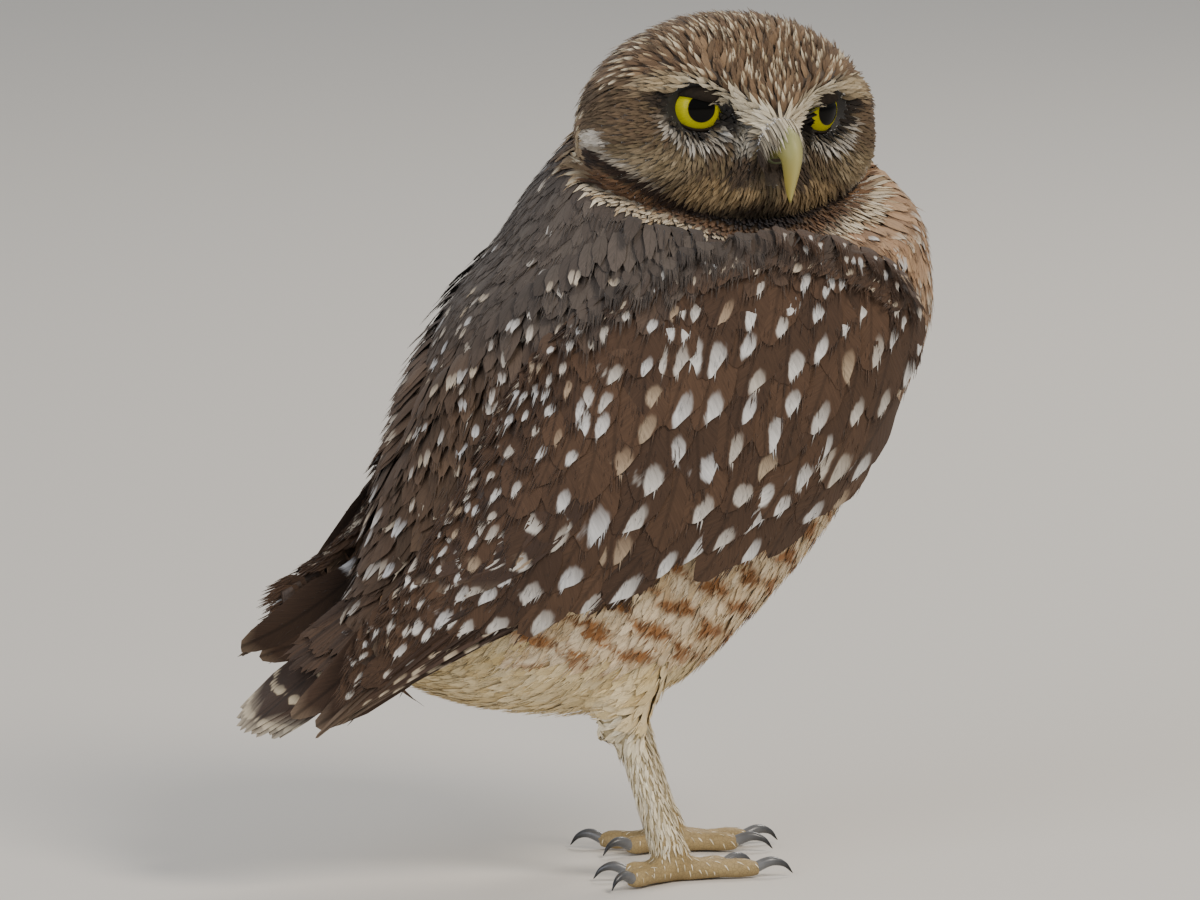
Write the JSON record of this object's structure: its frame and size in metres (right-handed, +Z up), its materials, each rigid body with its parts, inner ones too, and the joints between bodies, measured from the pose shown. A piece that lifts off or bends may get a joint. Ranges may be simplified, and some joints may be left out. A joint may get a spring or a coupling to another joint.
{
  "type": "burrowing owl",
  "caption": "Life-size still model of a burrowing owl standing at rest on both feet, with folded wings, a short tail and its head turned over its right wing.",
  "frame": {"origin": "the middle of the bounding box's underside, on the floor between the feet and the tail", "axes": "+Z up; +X the way the body and feet face; +Y the bird's left side. The head looks towards -Y"},
  "size_m": [0.162, 0.091, 0.1921],
  "materials": {
    "plumage": "matt brown feathers with pale spots",
    "pale_plumage": "matt cream down on the thighs, shanks and feet",
    "bill_horn": "satin olive to yellow horn",
    "claw_horn": "satin dark horn",
    "eye": "wet gloss yellow iris and black pupil"
  },
  "bodies": {
    "root": {"eye_right": "eye", "eye_left": "eye", "bill_upper": "bill_horn", "bill_lower": "bill_horn", "head": "plumage", "torso": "plumage", "neck": "plumage", "wing_right": "plumage", "wing_left": "plumage", "tail": "plumage", "thigh_right": "pale_plumage", "shank_right": "pale_plumage", "foot_right": "pale_plumage", "claw_inner_right": "claw_horn", "claw_middle_right": "claw_horn", "claw_outer_right": "claw_horn", "claw_hind_right": "claw_horn", "thigh_left": "pale_plumage", "shank_left": "pale_plumage", "foot_left": "pale_plumage", "claw_inner_left": "claw_horn", "claw_middle_left": "claw_horn", "claw_outer_left": "claw_horn", "claw_hind_left": "claw_horn"}
  },
  "joints": []
}
